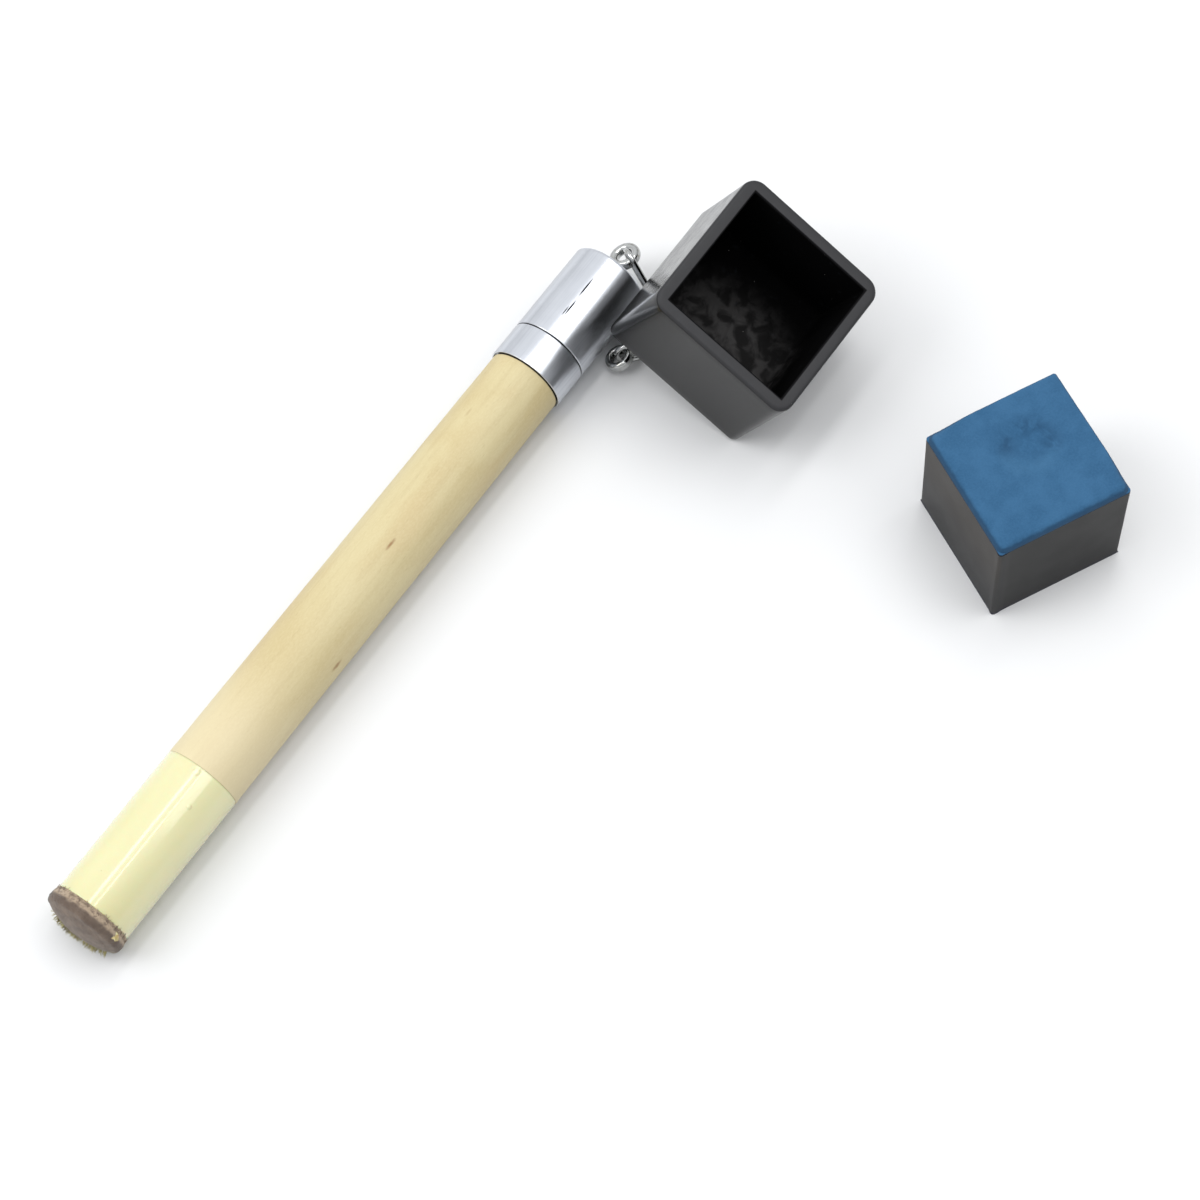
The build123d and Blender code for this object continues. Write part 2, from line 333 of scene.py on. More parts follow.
def chalk_finish():
    """Compressed chalk: faint clouds, a rubbed ring in the hollow and painted shade where the
    surface tilts away from straight up, as on the rounded edges.
    """
    f = Finish("blue_chalk")
    cloudy = f.ramp(f.noise(0.3, 5, seed=3), 0.35, 0.68)
    fine = f.ramp(f.noise(3.2, 4, seed=8), 0.3, 0.7)
    base = f.mix(cloudy, paint(43, 83, 117), paint(51, 92, 127))
    base = f.mix(f.math("MULTIPLY", fine, 0.3), base, paint(58, 102, 138))
    centre = on_table(WEAR_CENTRE)
    place = Vector((centre.x, centre.y, CHALK_HIGH.z))
    flat = (1, 1, 0.05)
    far_side = f.ramp(f.reach(place, (0.77, 0.64, 0)), -2.6, 0.6)
    rim = f.math("SUBTRACT", f.spot(place, flat, 6.7, 0.8), f.spot(place, flat, 4.2, 0.8))
    blotches = f.ramp(f.noise(0.3, 4, seed=23, distortion=0.7), 0.36, 0.56)
    arc = f.math("MULTIPLY", f.math("MULTIPLY", rim, blotches), far_side)
    base = f.mix(f.math("MULTIPLY", arc, 0.95), base, paint(27, 60, 90))
    inner_blotches = f.ramp(f.noise(0.5, 4, seed=15), 0.48, 0.62)
    inner = f.math("MULTIPLY", f.spot(place, flat, 5.0, 0.9), inner_blotches)
    base = f.mix(f.math("MULTIPLY", inner, 0.45), base, paint(38, 77, 110))
    crescent = f.math("MULTIPLY", rim, f.math("SUBTRACT", 1.0, far_side))
    base = f.mix(f.math("MULTIPLY", crescent, 0.4), base, paint(64, 108, 142))
    # Painted shade: darker wherever the surface tilts away from straight up, as on the rounded
    # edges.
    ragged = f.math("ADD", f.normal_axes()[2], f.math("MULTIPLY", f.noise(1.2, 4, seed=19), 0.16))
    edges = f.ramp(ragged, 1.0, 0.72)
    base = f.mix(f.math("MULTIPLY", edges, 0.7), base, paint(26, 58, 86))
    grains = f.relief(f.noise(5.0, 5, seed=2), 0.07, 0.5)
    pits = f.relief(f.ramp(f.cells(2.4), 0.08, 0.25), 0.04, 0.4, grains)
    return f.set(Base_Color=base, Roughness=0.95, Specular_IOR_Level=0.1, Normal=pits,
                 Sheen_Weight=0.08, Sheen_Roughness=0.6)


def label_finish():
    """Black paper, painted lighter on the side that faces the light and browner higher up that
    side, with blue dust along its top and a navy foot.
    """
    f = Finish("black_paper")
    height = f.axes()[2]
    rough_edge = f.math("ADD", height, f.math("MULTIPLY", f.noise(1.1, 4, seed=5), 1.2))
    dust = f.math("MULTIPLY", f.ramp(rough_edge, 20.6, 22.0), f.ramp(f.noise(2.5, 4), 0.35, 0.65))
    base = f.mix(f.ramp(f.noise(0.12, 2), 0.3, 0.7), paint(16, 16, 16), paint(18, 18, 18))
    # Painted light: the colour mixed in here paints the side facing -X lighter, as lit, and browner
    # higher up.
    painted_lit_side = f.ramp(f.normal_axes()[0], -0.5, -0.8)
    worn = f.mix(f.ramp(height, 4, 18), paint(36, 36, 37), paint(50, 45, 40))
    base = f.mix(f.math("MULTIPLY", painted_lit_side, 0.75), base, worn)
    base = f.mix(f.math("MULTIPLY", dust, 0.5), base, paint(44, 62, 84))
    near_corner = on_table(Vector((-LABEL_SIDE / 2, -LABEL_SIDE / 2, 0)))
    along_side = Matrix.Rotation(CHALK_YAW, 3, "Z") @ Vector((1, 0, 0))
    lap_end = f.math("ABSOLUTE", f.math("SUBTRACT", f.reach(near_corner, along_side), LAP_WIDTH))
    near_side = f.ramp(f.normal_axes()[1], -0.6, -0.85)
    lap_line = f.math("MULTIPLY", f.ramp(lap_end, 0.3, 0.08), near_side)
    base = f.mix(f.math("MULTIPLY", lap_line, 0.9), base, paint(7, 7, 12))
    navy = f.math("MULTIPLY", f.ramp(height, 1.0, 0.3), 0.9)
    base = f.mix(navy, base, paint(12, 12, 38))
    fibres = f.relief(f.noise(3.0, 3, (1, 1, 0.4)), 0.003, 0.5)
    roughness = f.ramp(f.noise(0.2, 2, seed=2), 0.3, 0.7, 0.42, 0.45)
    return f.set(Base_Color=base, Roughness=roughness, Specular_IOR_Level=0.18, Normal=fibres)


def rubber_finish():
    """Black moulded rubber: glossy outside, duller on the rim, with painted shade in the pocket and
    a pale patch on its floor, partly smudges and partly painted light.
    """
    f = Finish("moulded_rubber")
    cloudy = f.ramp(f.noise(0.16, 3, seed=4), 0.3, 0.7)
    base = f.mix(cloudy, paint(15, 15, 16), paint(20, 20, 21))
    upward = Matrix.Rotation(CUP_TILT, 3, "X") @ Vector((0, 0, 1))
    height = f.reach(on_cup(Vector((0, 0, 0))), upward)
    on_rim = f.ramp(height, CUP_DEPTH - 0.5, CUP_DEPTH - 0.15)
    base = f.mix(f.math("MULTIPLY", on_rim, 0.9), base, paint(52, 52, 54))
    inside = f.ramp(height, CUP_FLOOR - 0.3, CUP_FLOOR - 0.1)
    for side in (Vector((1, 0, 0)), Matrix.Rotation(CUP_TILT, 3, "X") @ Vector((0, 1, 0))):
        from_middle = f.math("ABSOLUTE", f.reach(on_cup(Vector((0, 0, 0))), side))
        wall = CUP_POCKET / 2
        inside = f.math("MULTIPLY", inside, f.ramp(from_middle, wall + 0.35, wall + 0.15))
    # Painted shade: the inside of the pocket is painted darker than the outside.
    base = f.mix(f.math("MULTIPLY", inside, 0.85), base, paint(8, 8, 8))
    # A pale patch on the pocket floor, partly smudges and partly painted light where the floor is
    # lit; it fades up the walls.
    lit_place = on_cup(Vector((-6.0, -2.0, CUP_FLOOR)))
    smudge_film_and_painted_light = f.spot(lit_place, (0.9, 0.75, 0.75), 14.5, 1.5)
    smudges = f.ramp(f.noise(0.42, 5, seed=7, distortion=0.6), 0.38, 0.62)
    smudge_film_and_painted_light = f.math("MULTIPLY", smudge_film_and_painted_light, f.math("SUBTRACT", 1.0, f.math("MULTIPLY", smudges, 0.75)))
    smudge_film_and_painted_light = f.math("MULTIPLY", smudge_film_and_painted_light, f.ramp(height, CUP_FLOOR + 9, CUP_FLOOR + 1))
    base = f.mix(f.math("MULTIPLY", smudge_film_and_painted_light, inside), base, paint(64, 63, 63))
    dust = f.math("MULTIPLY", f.ramp(f.noise(0.7, 5, seed=17), 0.6, 0.8), 0.1)
    base = f.mix(dust, base, paint(70, 76, 84))
    specks = f.ramp(f.cells(0.42, seed=6), 0.035, 0.02)
    base = f.mix(f.math("MULTIPLY", specks, 0.6), base, paint(140, 138, 134))
    roughness = f.ramp(f.noise(0.5, 4, seed=1), 0.3, 0.7, 0.13, 0.2)
    duller = f.math("MAXIMUM", inside, f.math("MULTIPLY", on_rim, 0.6))
    roughness = f.math("ADD", roughness, f.math("MULTIPLY", duller, 0.45))
    shine = f.math("MULTIPLY", 0.2, f.math("SUBTRACT", 1.0, inside))
    dimples = f.relief(f.noise(0.4, 2, seed=3), 0.004, 0.3)
    texture = f.relief(f.noise(7.0, 3, seed=2), 0.0015, 0.4, dimples)
    return f.set(Base_Color=base, Roughness=roughness, Specular_IOR_Level=shine, Normal=texture)


def maple_finish():
    """Pale maple with clouds, pores, brown flecks, a pale end and painted shade where the wood
    enters the collar.
    """
    f = Finish("pale_maple")
    along = (0.07, 1, 1)
    blotch = f.ramp(f.noise(0.13, 2, (0.35, 1, 1), seed=12, distortion=0.7), 0.36, 0.66)
    base = f.mix(blotch, paint(190, 174, 131), paint(197, 184, 143))
    warm = f.ramp(f.noise(0.16, 2, (0.4, 1, 1), seed=21), 0.5, 0.78)
    base = f.mix(f.math("MULTIPLY", warm, 0.25), base, paint(192, 166, 122))
    streaks = f.ramp(f.noise(1.1, 4, along, seed=5, distortion=0.4), 0.45, 0.75)
    base = f.mix(f.math("MULTIPLY", streaks, 0.18), base, paint(166, 146, 104))
    pores = f.ramp(f.noise(5.5, 3, (0.14, 1, 1), seed=9), 0.6, 0.78)
    base = f.mix(f.math("MULTIPLY", pores, 0.3), base, paint(152, 130, 90))
    stipple = f.ramp(f.noise(4.0, 2, (0.5, 1, 1), seed=14), 0.4, 0.68)
    base = f.mix(f.math("MULTIPLY", stipple, 0.14), base, paint(214, 204, 166))
    for centre, stretch, strength in FLECKS:
        mark = f.math("MULTIPLY", f.spot(centre, stretch, 1.0, 0.45), strength)
        base = f.mix(mark, base, paint(132, 90, 46))
    # Lighter towards the ferrule end of the shaft.
    paler_towards_ferrule = f.ramp(f.axes()[0], -82, -100)
    base = f.mix(f.math("MULTIPLY", paler_towards_ferrule, 0.5), base, paint(216, 204, 172))
    # Painted shade: the wood is painted dark where it enters the collar's mouth.
    painted_gap_shade = f.ramp(f.axes()[0], collar_low.x - 0.22, collar_low.x - 0.05)
    base = f.mix(painted_gap_shade, base, paint(30, 22, 34))
    grain_relief = f.relief(f.noise(5.0, 4, along, seed=5), 0.01, 0.4)
    return f.set(Base_Color=base, Roughness=0.5, Specular_IOR_Level=0.35, Normal=grain_relief)


def ivory_finish():
    """Glossy cream plastic with small pits, a seam line, a dried drop and a bubble."""
    f = Finish("ivory_plastic")
    around = f.ramp(f.noise(0.12, 2, (0.3, 1, 1), seed=3), 0.3, 0.7)
    base = f.mix(around, paint(206, 201, 151), paint(212, 208, 162))
    pits = f.ramp(f.cells(0.3, (0.8, 1, 1), seed=13), 0.035, 0.015)
    base = f.mix(f.math("MULTIPLY", pits, 0.5), base, paint(168, 160, 100))
    joint_x = box_mm("ferrule")[1].x
    seam = f.ramp(f.axes()[0], joint_x - 0.3, joint_x - 0.05)
    base = f.mix(f.math("MULTIPLY", seam, 0.25), base, paint(150, 136, 84))
    ripple = f.relief(f.noise(0.3, 2, (0.3, 1, 1)), 0.008, 0.4)
    hollows = f.relief(f.math("SUBTRACT", 1.0, pits), 0.05, 0.6, ripple)
    drop_place = on_handle(joint_x - 0.9, 6.2, 100)
    drop = f.spot(drop_place, (0.9, 1, 1), 0.7)
    bead = f.relief(drop, 0.16, 0.8, hollows)
    bubble_place = on_handle(joint_x - 5.6, 6.2, 122)
    bubble = f.spot(bubble_place, (1, 1, 1), 0.5)
    bead = f.relief(bubble, 0.12, 0.8, bead)
    return f.set(Base_Color=base, Roughness=0.25, Specular_IOR_Level=0.5, Normal=bead,
                 Subsurface_Weight=0.2, Subsurface_Scale=0.002, Coat_Weight=0.9,
                 Coat_Roughness=0.09)


def leather_finish():
    """Brown pressed fibres with a pale side band, a darker ridge and a grey flap."""
    f = Finish("pressed_leather")
    along, across, height = f.axes()
    base = f.mix(f.ramp(f.noise(0.6, 5, seed=2), 0.3, 0.7), paint(98, 84, 74), paint(124, 109, 96))
    fibres = f.noise(2.4, 6, (2.2, 1, 1), seed=6, distortion=1.5)
    base = f.mix(f.math("MULTIPLY", f.ramp(fibres, 0.5, 0.72), 0.4), base, paint(146, 130, 112))
    wavy = f.math("ADD", along, f.math("MULTIPLY", f.noise(0.8, 3, seed=31), 0.8))
    band = f.ramp(wavy, TIP_RIDGE_X + 0.7, TIP_RIDGE_X + 1.2)
    base = f.mix(f.math("MULTIPLY", band, 0.75), base, paint(182, 162, 138))
    dark_knots = f.ramp(f.noise(1.6, 4, seed=33), 0.52, 0.64)
    knots = f.math("MULTIPLY", f.math("MULTIPLY", band, dark_knots), 0.6)
    base = f.mix(knots, base, paint(92, 78, 68))
    ridge = f.math("MULTIPLY", f.ramp(wavy, TIP_RIDGE_X - 0.6, TIP_RIDGE_X + 0.1),
                   f.ramp(wavy, TIP_RIDGE_X + 1.0, TIP_RIDGE_X + 0.5))
    base = f.mix(f.math("MULTIPLY", ridge, 0.5), base, paint(80, 66, 58))
    low_face = f.ramp(height, AXIS.z - 0.5, AXIS.z - 3.5)
    base = f.mix(f.math("MULTIPLY", low_face, 0.45), base, paint(136, 130, 100))
    flap = f.ramp(across, AXIS.y + 5.2, AXIS.y + 6.0)
    base = f.mix(f.math("MULTIPLY", flap, 0.65), base, paint(84, 84, 82))
    holes = f.math("MULTIPLY", f.ramp(f.cells(1.3, seed=4), 0.12, 0.05), 0.5)
    base = f.mix(holes, base, paint(52, 42, 36))
    fuzz = f.relief(fibres, 0.25, 0.8)
    return f.set(Base_Color=base, Roughness=0.85, Specular_IOR_Level=0.25, Normal=fuzz,
                 Sheen_Weight=0.2)


def fibre_finish():
    """Leather fibres, yellower towards the worn face."""
    f = Finish("leather_fibres")
    seat_x = box_mm("leather_tip")[1].x
    near_seat = f.ramp(f.axes()[0], seat_x - 1.2, seat_x - 0.6)
    mottle = f.ramp(f.noise(0.9, 4, seed=3), 0.35, 0.65)
    face = f.mix(mottle, paint(124, 114, 84), paint(176, 168, 118))
    seat = f.mix(mottle, paint(112, 96, 82), paint(170, 152, 128))
    return f.set(Base_Color=f.mix(near_seat, face, seat), Roughness=0.8, Sheen_Weight=0.2,
                 Normal=f.relief(f.noise(6.0, 3), 0.02, 0.5))


def glue_finish():
    """Glossy yellowed glue."""
    f = Finish("dried_glue")
    base = f.mix(f.ramp(f.noise(1.6, 4), 0.35, 0.65), paint(172, 150, 88), paint(214, 202, 150))
    return f.set(Base_Color=base, Roughness=0.22, Subsurface_Weight=0.2,
                 Subsurface_Scale=0.001, Normal=f.relief(f.noise(2.0, 4), 0.08, 0.5))


def turned_aluminium_finish():
    """Bright turned metal with streaks along the handle, scratches, a painted dim reflection on the
    side facing +Y and painted shade along the seam.
    """
    f = Finish("turned_aluminium")
    streak_field = f.noise(1.9, 4, (0.04, 1.4, 1.4), seed=8)
    streaks = f.ramp(streak_field, 0.46, 0.7)
    clouds = f.ramp(f.noise(0.25, 3, seed=4), 0.35, 0.65)
    base = f.mix(clouds, paint(206, 209, 215), paint(210, 213, 219))
    base = f.mix(f.math("MULTIPLY", streaks, 0.3), base, paint(176, 180, 188))
    # Painted reflection: the side facing +Y is painted darker, as a dim reflection.
    painted_dim_reflection_side = f.ramp(f.normal_axes()[1], 0.62, 0.98)
    base = f.mix(f.math("MULTIPLY", painted_dim_reflection_side, 0.6), base, paint(132, 134, 140))
    for centre, stretch in SCRATCHES:
        base = f.mix(f.spot(centre, stretch, 1.0), base, paint(16, 16, 20))
    # Painted shade: a dark band along the seam between collar and cap.
    from_seam = f.math("ABSOLUTE", f.math("SUBTRACT", f.axes()[0], SEAM_X))
    base = f.mix(f.ramp(from_seam, 0.16, 0.06), base, paint(34, 34, 38))
    roughness = f.math("ADD", 0.28, f.math("MULTIPLY", streaks, 0.06))
    tangent = f.tree.nodes.new("ShaderNodeTangent")
    tangent.direction_type = "RADIAL"
    tangent.axis = "X"
    return f.set(Base_Color=base, Metallic=1.0, Roughness=roughness, Anisotropic=0.5,
                 Anisotropic_Rotation=0.25, Tangent=tangent.outputs[0])


def plated_finish(name, tint, smear):
    """Plating with olive patches, partly fine wear and partly painted reflection."""
    f = Finish(name)
    # Olive patches: partly fine wear and partly painted reflection.
    wear = f.ramp(f.noise(1.2, 5, seed=smear), 0.5, 0.8)
    base = f.mix(wear, tint, paint(122, 118, 100))
    roughness = f.ramp(f.noise(2.2, 4, seed=smear), 0.3, 0.75, 0.05, 0.13)
    return f.set(Base_Color=base, Metallic=1.0, Roughness=roughness,
                 Normal=f.relief(f.noise(1.2, 2, seed=smear), 0.01, 0.3))


def steel_finish():
    """Plain turned steel with a few stained spots."""
    f = Finish("plain_steel")
    rings = f.noise(6.0, 4, (0.4, 1, 1), seed=2)
    base = f.mix(f.ramp(rings, 0.35, 0.7), paint(150, 150, 152), paint(182, 182, 184))
    spots = f.ramp(f.noise(1.1, 5, seed=12), 0.62, 0.8)
    base = f.mix(f.math("MULTIPLY", spots, 0.35), base, paint(120, 104, 88))
    return f.set(Base_Color=base, Metallic=1.0, Roughness=f.ramp(rings, 0.3, 0.7, 0.28, 0.42),
                 Normal=f.relief(rings, 0.01, 0.5))


SCRATCHES = (
    (on_handle(-8.5, 6.4, 96), (0.36, 5, 5)),
    (on_handle(-12.7, 6.4, 97), (0.42, 5, 5)),
    (on_handle(-13.6, 6.4, 94), (0.8, 8, 8)),
)
FLECKS = (
    (on_handle(-60.4, 6.15, 110), (0.5, 2.2, 1.4), 0.8),
    (on_handle(-79.5, 6.15, 166), (0.55, 2.0, 1.4), 0.7),
    (on_handle(-36.0, 6.15, 75), (0.6, 2.6, 1.4), 0.25),
)


# ---- chalk cube -----------------------------------------------------------------------

def on_table(point):
    """Turns a point of the upright, square cube to how the cube lies on the table."""
    centre = (CHALK_LOW + CHALK_HIGH) / 2
    return Vector((centre.x, centre.y, 0)) + Matrix.Rotation(CHALK_YAW, 3, "Z") @ point


WEAR_CENTRE = Vector((1.3, 2.1, 0))
WEAR_RADIUS = 5.6
WEAR_DEPTH = 0.5


def worn_chalk_point(point, half, top):
    """Rounds a plain block's upright edges, wears its top edges down and sinks the hollow."""
    on_top = point.z > top - TINY
    share_x, share_y = point.x / half, point.y / half
    wear = 1.3 - 0.85 * smooth_step(min(share_x, share_y), -0.92, -0.3)
    wear += 0.12 * grain(point, 0.25, 5) + 0.05 * grain(point, 1.1, 9)
    core = Vector((
        max(-half + UPRIGHT_EDGE, min(half - UPRIGHT_EDGE, point.x)),
        max(-half + UPRIGHT_EDGE, min(half - UPRIGHT_EDGE, point.y)),
        point.z,
    ))
    away = point - core
    if away.length > TINY:
        point = core + away * (max(abs(away.x), abs(away.y)) / away.length)
    past_x = max(0.0, abs(point.x) - half + wear)
    past_y = max(0.0, abs(point.y) - half + wear)
    past = min(1.0, math.hypot(past_x, past_y) / wear)
    bend = min(past, 0.96)
    drop = wear * (1 - math.sqrt(1 - bend**2) + 2 * (past - bend))
    point.z -= drop * smooth_step(point.z, top - 8, top)
    if on_top:
        reach = (Vector((point.x, point.y, 0)) - WEAR_CENTRE).length
        reach += 0.5 * grain(point, 0.3, 2)
        bowl = WEAR_DEPTH * (1 - smooth_step(reach, 0.15 * WEAR_RADIUS, WEAR_RADIUS))
        roughness = 0.025 * (1 + grain(point, 1.3, 3)) + 0.01 * (1 + grain(point, 4.5, 7, 2))
        point.z -= bowl + roughness
    return point


def build_chalk():
    """The chalk block: a fine grid over the worn top, then rows of points down the sides."""
    half = LABEL_SIDE / 2 - PAPER
    top = box_mm("chalk_block")[1].z
    cells = 150
    edge_bias = 0.4

    def spread(index):
        t = 2 * index / cells - 1
        return half * ((1 - edge_bias) * t + edge_bias * math.sin(t * math.pi / 2))

    flat = [Vector((spread(i), spread(j), top)) for i in range(cells + 1) for j in range(cells + 1)]
    points = [worn_chalk_point(p, half, top) for p in flat]
    width = cells + 1
    faces = []
    for i in range(cells):
        for j in range(cells):
            corner = i * width + j
            faces.append((corner, corner + width, corner + width + 1, corner + 1))
    rim = [i * width for i in range(cells)]
    rim += [cells * width + j for j in range(cells)]
    rim += [i * width + cells for i in range(cells, 0, -1)]
    rim += list(range(cells, 0, -1))
    above = rim
    for level in [top - drop for drop in (0.15, 0.4, 0.8, 1.4, 2.4, 4.5, 8, 13, 18)] + [PAPER]:
        start = len(points)
        points += [worn_chalk_point(Vector((flat[k].x, flat[k].y, level)), half, top) for k in rim]
        below = list(range(start, len(points)))
        for k in range(len(rim)):
            after = (k + 1) % len(rim)
            faces.append((above[k], above[after], below[after], below[k]))
        above = below
    faces.append(tuple(above))
    chalk = add_piece("chalk_cube", [on_table(p) for p in points], faces, "chalk",
                      ["chalk_block"], sharp=80)
    chalk.data.materials.append(chalk_finish())


def square_loop(half, corner, height, arc_steps=10, side_steps=24):
    """A rounded square at a height, with points spread along its sides too."""
    loop = []
    reach = half - corner
    for quarter in range(4):
        start = quarter * math.pi / 2
        centre = Matrix.Rotation(start, 2) @ Vector((reach, reach))
        for step in range(arc_steps + 1):
            turn = start + step / arc_steps * math.pi / 2
            offset = Vector((math.cos(turn), math.sin(turn))) * corner
            loop.append(Vector((centre.x + offset.x, centre.y + offset.y, height)))
        here = loop[-1].copy()
        onward = Matrix.Rotation(start + math.pi / 2, 2) @ Vector((reach, reach))
        next_start = start + math.pi / 2
        there = Vector((onward.x, onward.y, 0))
        there += Vector((math.cos(next_start), math.sin(next_start), 0)) * corner
        there.z = height
        for step in range(1, side_steps):
            loop.append(here.lerp(there, step / side_steps))
    return loop


def build_label():
    """The paper wrap: a thin sleeve with soft corners and its lapped end by one corner."""
    half = LABEL_SIDE / 2
    height = CHALK_HIGH.z
    rows = 14
    lap = 0.1

    def shaped(point, inset, lap_step):
        on_lap = point.y < 0.6 - half and point.x + half < LAP_WIDTH
        wrinkle = 0.015 * (1 + grain(point, 0.16, 4, 2))
        scale = (half - inset - (0 if on_lap else lap_step) - wrinkle) / half
        return Vector((point.x * scale, point.y * scale, point.z))

    outer, inner = [], []
    for row in range(rows + 1):
        level = height * row / rows
        outer_loop = [shaped(p, 0.0, lap) for p in square_loop(half, 0.55, level, 8, 40)]
        inner_loop = [shaped(p, PAPER * 0.8, 0.0) for p in square_loop(half, 0.5, level, 8, 40)]
        if row == rows:
            for p in outer_loop + inner_loop:
                p.z -= 0.05 * (1 + grain(Vector((p.x, p.y, 0)), 0.35, 6))
        outer.append(outer_loop)
        inner.append(inner_loop)
    points, faces = loft(outer + inner[::-1], closed=True)
    label = add_piece("paper_wrap", [on_table(p) for p in points], faces, "chalk", ["side_label"])
    label.data.materials.append(label_finish())
    NODES["base_label"].data.materials.clear()
    NODES["base_label"].data.materials.append(label.data.materials[0])


# ---- rubber cup -----------------------------------------------------------------------

def on_cup(point):
    """Places a point given from the cup's base, mouth up, where the cup lies."""
    lean = Matrix.Rotation(CUP_TILT, 3, "X")
    return CUP_CENTRE + lean @ (point - Vector((0, 0, CUP_DEPTH / 2)))


def build_cup():
    """The moulded cup: rounded squares lofted from the anchor's space out and into the pocket."""
    half = CUP_SIDE / 2
    pocket = CUP_POCKET / 2
    anchor_radius, anchor_low, anchor_high = 4.5, 1.1, 1.9
    shank = 1.0
    outline = eased([
        (shank, anchor_high, 0.0),
        (anchor_radius, anchor_high, 0.0),
        (anchor_radius, anchor_low, 0.0),
        (shank, anchor_low, 0.0),
        (shank, 0, 0.12),
        (half, 0, 0.6),
        (half, CUP_DEPTH, 0.6),
        (pocket, CUP_DEPTH, 0.25),
        (pocket, CUP_FLOOR, 1.6),
        (4.0, CUP_FLOOR, 0.0),
        (1.0, CUP_FLOOR, 0.0),
    ], closed=False)
    loops = []
    inside = False
    for reach, height in refined(outline, 1.6):
        inside = inside or (reach < pocket + 0.3 and height > CUP_FLOOR + 1)
        corner = CUP_BASE_CORNER + (CUP_RIM_CORNER - CUP_BASE_CORNER) * height / CUP_DEPTH
        if inside or (height > CUP_DEPTH - 0.05 and reach < half - 0.6):
            share = smooth_step(reach, pocket, half - 0.6)
            corner = POCKET_CORNER + (CUP_RIM_CORNER - POCKET_CORNER) * share
        round_part = 1 - smooth_step(reach, anchor_radius, 0.85 * pocket)
        corner += (reach - corner) * round_part
        loops.append(square_loop(reach, min(corner, reach), height, 10, 20))
    for point in [p for loop in loops for p in loop]:
        far, near = max(abs(point.x), abs(point.y)), min(abs(point.x), abs(point.y))
        if 2 < point.z < CUP_DEPTH - 1 and far > half - 0.2:
            sink = 0.1 * math.sin(math.pi * point.z / CUP_DEPTH) * (1 - (near / half) ** 2)
            if abs(point.x) > half - 0.2:
                point.x -= math.copysign(sink, point.x)
            if abs(point.y) > half - 0.2:
                point.y -= math.copysign(sink, point.y)
        if CUP_FLOOR - 0.01 <= point.z < CUP_FLOOR + 0.3 and far < pocket - 0.3:
            point.z += 0.08 * (1 + grain(point, 0.25, 3))
    points, faces = loft(loops)
    cup = add_piece("rubber_cup", [on_cup(p) for p in points], faces, "cup", ["cup"], sharp=50)
    cup.data.materials.append(rubber_finish())


# ---- handle ---------------------------------------------------------------------------

def build_ferrule():
    """The ferrule, bored for the shaft's tenon."""
    low, high = box_mm("ferrule")
    radius = (high.y - low.y) / 2
    bore_end = box_mm("wood_shaft")[0].x - 0.3
    outline = eased([
        (bore_end, 1.0, 0.0),
        (bore_end, TENON_RADIUS, 0.0),
        (high.x, TENON_RADIUS, 0.0),
        (high.x, radius, 0.12),
        (low.x, radius, 0.2),
        (low.x, 1.0, 0.0),
    ], closed=False)
    ferrule = turned("glossy_ferrule", outline, False, "handle", ["ferrule"])
    ferrule.data.materials.append(ivory_finish())


def build_shaft():
    """The maple shaft, with a tenon at each end and a narrow neck in the collar's mouth."""
    low, high = box_mm("wood_shaft")
    ferrule_end = box_mm("ferrule")[1].x
    mouth = collar_low.x + SOCKET_LIP
    thin, thick = (high.y - low.y) / 2, WOOD_BUTT_RADIUS
    neck = thick - 0.28
    screw_tip = box_mm("keeper_screw")[0].x
    outline = eased([
        (low.x, 1.0, 0.0),
        (low.x, TENON_RADIUS, 0.4),
        (ferrule_end, TENON_RADIUS, 0.0),
        (ferrule_end, thin, 0.1),
        (collar_low.x - 0.2, thick, 0.15),
        (collar_low.x + 0.05, neck, 0.1),
        (mouth, neck, 0.0),
        (mouth, COLLAR_BORE, 0.0),
        (high.x, COLLAR_BORE, 0.2),
        (high.x, SCREW_RADIUS, 0.0),
        (screw_tip + 2 * SCREW_RADIUS, SCREW_RADIUS, 0.0),
        (screw_tip, 0.05, 0.0),
    ], closed=False)
    loops = []
    for x, radius in refined(outline, 1.5):
        loop = ring_points(x, radius)
        if ferrule_end + 0.2 < x < mouth - 0.2 and radius > COLLAR_BORE:
            for point in loop:
                out = Vector((0, point.y - AXIS.y, point.z - AXIS.z)).normalized()
                stretched = Vector((point.x * 0.2, point.y, point.z))
                point -= out * 0.025 * (1 + grain(stretched, 0.4, 8))
        loops.append(loop)
    shaft = add_piece("maple_shaft", *loft(loops), "handle", ["wood_shaft"])
    shaft.data.materials.append(maple_finish())


def build_collar():
    """The collar: a socket for the wood, a web for the screw and a seat for the disc."""
    radius = (collar_high.y - collar_low.y) / 2
    keeper_radius = (box_mm("keeper_disc")[1].y - box_mm("keeper_disc")[0].y) / 2
    outline = eased([
        (collar_low.x, radius - RIM_WALL, 0.05),
        (collar_low.x, radius, 0.1),
        (SEAM_X, radius, SEAM_EASE),
        (SEAM_X, keeper_radius, 0.08),
        (SEAM_X - KEEPER_THICK, keeper_radius, 0.0),
        (SEAM_X - KEEPER_THICK, SCREW_RADIUS, 0.0),
        (SEAM_X - COLLAR_WEB, SCREW_RADIUS, 0.0),
        (SEAM_X - COLLAR_WEB, COLLAR_BORE, 0.0),
        (collar_low.x + SOCKET_LIP, COLLAR_BORE, 0.0),
        (collar_low.x + SOCKET_LIP, radius - RIM_WALL, 0.0),
    ], closed=True)
    collar = turned("turned_collar", outline, True, "handle", ["collar"])
    collar.data.materials.append(aluminium)


